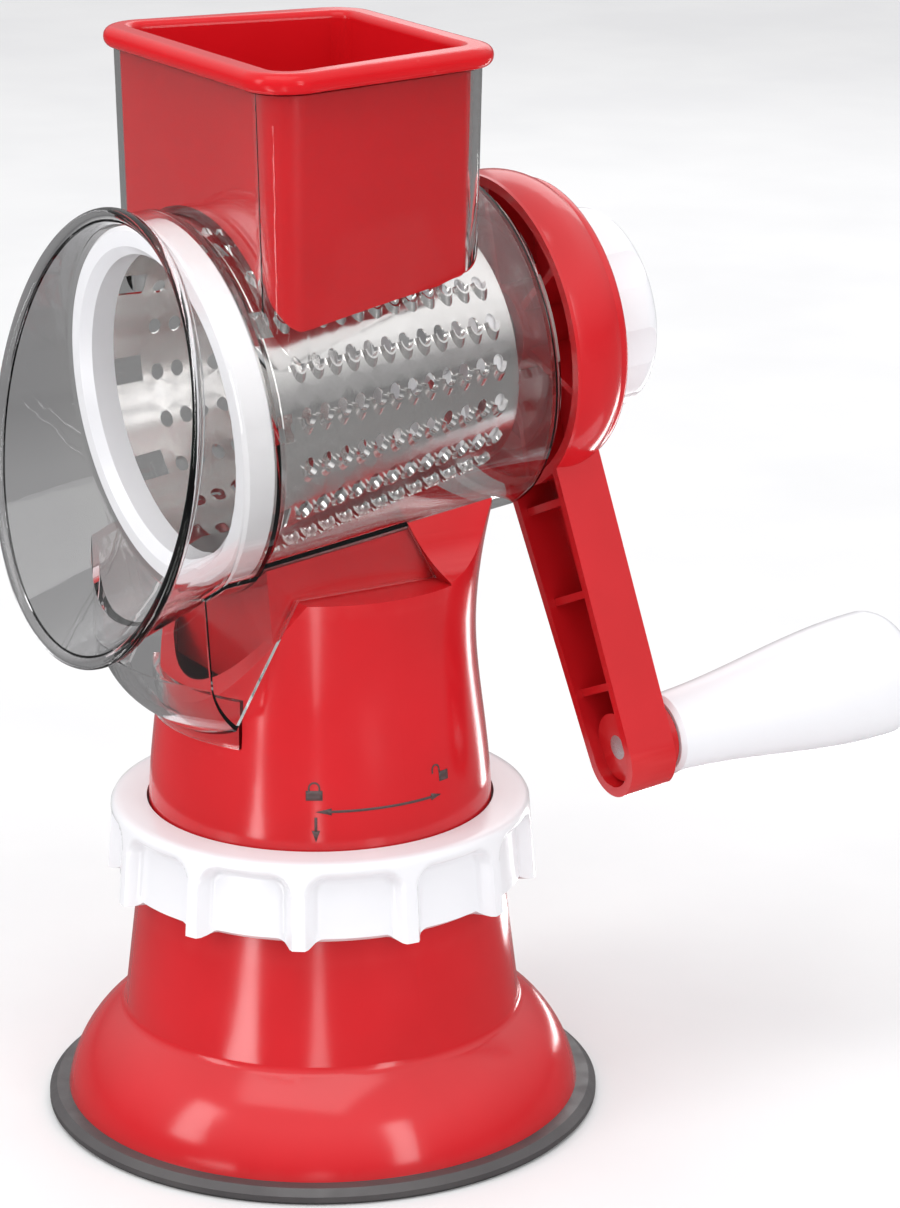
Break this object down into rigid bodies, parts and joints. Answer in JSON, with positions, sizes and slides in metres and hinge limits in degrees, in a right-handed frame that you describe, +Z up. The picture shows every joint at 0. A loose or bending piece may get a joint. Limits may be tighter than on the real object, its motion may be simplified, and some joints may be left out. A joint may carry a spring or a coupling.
{
  "type": "rotary drum shredder",
  "caption": "Hand-cranked rotary shredder: conical grating drum in a clear housing with feed chute and pusher, on a red column with a twist-lock suction base.",
  "frame": {"origin": "centre of the suction pad's flat underside", "axes": "+Z up, the drum's axis in the plane X = 0 with its outlet towards -Y and its crank towards +Y"},
  "size_m": [0.145, 0.2255, 0.281],
  "materials": {
    "red_plastic": "gloss",
    "white_plastic": "gloss",
    "clear_plastic": "clear",
    "pad_rubber": "satin",
    "inner_plastic": "matt",
    "drum_steel": "polished",
    "steel": "satin"
  },
  "bodies": {
    "stand": {"suction_pad": "pad_rubber", "base_housing": "red_plastic", "column": "red_plastic", "column_screws": "steel", "clear_housing": "clear_plastic", "crank_bush": "inner_plastic", "return_spring": "steel"},
    "ring": {"lock_ring": "white_plastic"},
    "stem": {"lift_stem": "inner_plastic", "cross_pin": "steel", "spring_washer": "steel"},
    "pusher": {"pusher": "red_plastic"},
    "crank": {"crank": "red_plastic", "drive_shaft": "steel", "drum_rear_hub": "white_plastic", "drum_sheet": "drum_steel", "drum_front_ring": "white_plastic", "grip_pin": "steel", "grip_washer": "steel"},
    "knob": {"clamp_knob": "white_plastic", "knob_stud": "steel"},
    "grip": {"grip": "white_plastic", "grip_cap": "white_plastic"}
  },
  "joints": [
    {"name": "lock_turn", "type": "hinge", "parent": "stand", "child": "ring", "pos_m": [0, 0, 0.0724], "axis": [0, 0, 1], "range_deg": [-48, 0]},
    {"name": "stem_lift", "type": "slide", "parent": "stand", "child": "stem", "axis": [0, 0, 1], "range_m": [0, 0.004], "deforming": ["return_spring", "suction_pad"]},
    {"name": "pusher_slide", "type": "slide", "parent": "stand", "child": "pusher", "axis": [0, 0, 1], "range_m": [0, 0.09]},
    {"name": "crank_turn", "type": "hinge", "parent": "stand", "child": "crank", "pos_m": [0, 0, 0.1958], "axis": [0, 0.9969, 0.0785], "continuous": true},
    {"name": "knob_turn", "type": "hinge", "parent": "crank", "child": "knob", "pos_m": [0, 0, 0.1958], "axis": [0, 0.9969, 0.0785], "range_deg": [0, 90]},
    {"name": "grip_spin", "type": "hinge", "parent": "crank", "child": "grip", "pos_m": [0.04466, 0.07585, 0.09874], "axis": [0, 0.9969, 0.0785], "continuous": true}
  ],
  "couplings": [
    {"joint": "stem_lift", "follows": "lock_turn", "m_per_rad": -0.0047746}
  ]
}
